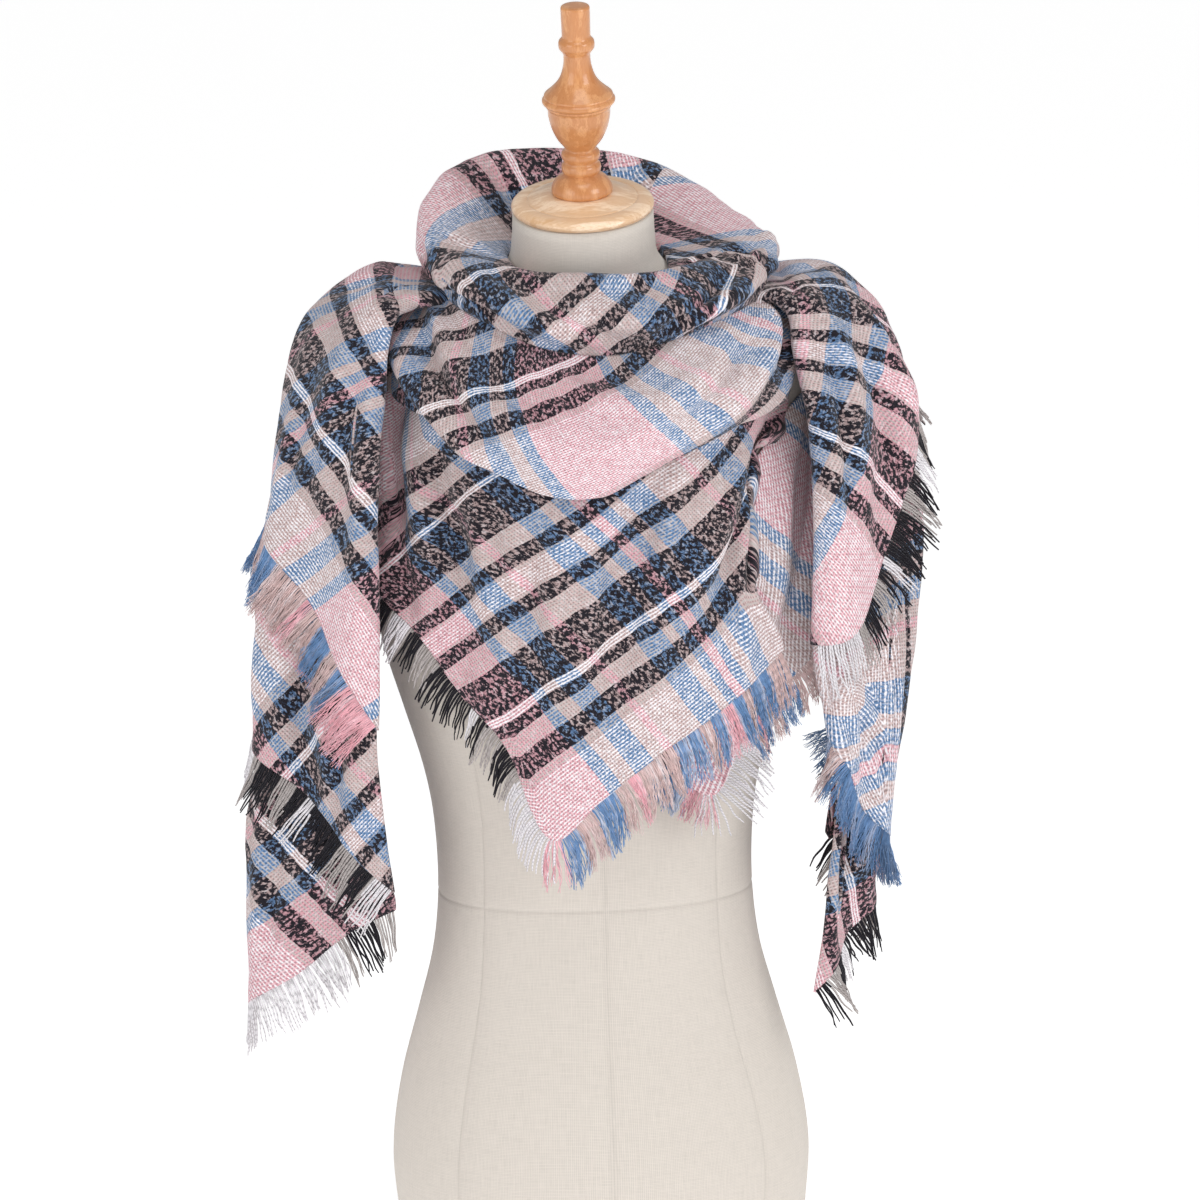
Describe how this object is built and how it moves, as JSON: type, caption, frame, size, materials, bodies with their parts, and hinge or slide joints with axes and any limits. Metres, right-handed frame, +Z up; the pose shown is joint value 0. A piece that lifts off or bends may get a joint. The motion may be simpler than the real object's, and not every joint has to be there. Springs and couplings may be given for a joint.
{
  "type": "blanket scarf on limbless dress form",
  "caption": "Large square fringed blanket scarf, folded to a kerchief and wound round the neck of a limbless linen dress form with a turned wooden finial.",
  "frame": {"origin": "centre of the form's flat base, on the surface that it stands on", "axes": "+Z up; -Y is the front, where the scarf's corner hangs; -X is the wearer's right"},
  "size_m": [0.5381, 0.3046, 0.9809],
  "materials": {
    "brushed_plaid_cloth": "brushed woven acrylic, plaid of pink, blue, black, grey and white",
    "fringe_yarn": "loose yarn ends of the cloth",
    "form_linen": "plain woven linen, stretched and seamed",
    "base_board": "plain board",
    "varnished_wood": "turned, honey-coloured, glossy varnish"
  },
  "bodies": {
    "root": {"base_board": "base_board", "torso": "form_linen", "neck_cap": "varnished_wood", "finial": "varnished_wood", "cowl_collar": "brushed_plaid_cloth", "pouch_fold": "brushed_plaid_cloth", "bib_panel": "brushed_plaid_cloth", "under_panel": "brushed_plaid_cloth", "right_end_upper": "brushed_plaid_cloth", "right_end_middle": "brushed_plaid_cloth", "right_end_lower": "brushed_plaid_cloth", "left_end_upper": "brushed_plaid_cloth", "left_end_middle": "brushed_plaid_cloth", "left_end_lower": "brushed_plaid_cloth", "bib_fringe_right": "fringe_yarn", "bib_fringe_left": "fringe_yarn", "under_fringe": "fringe_yarn", "right_upper_fringe": "fringe_yarn", "right_middle_fringe": "fringe_yarn", "right_lower_fringe": "fringe_yarn", "left_upper_fringe": "fringe_yarn", "left_middle_fringe": "fringe_yarn", "left_lower_fringe": "fringe_yarn"}
  },
  "joints": []
}
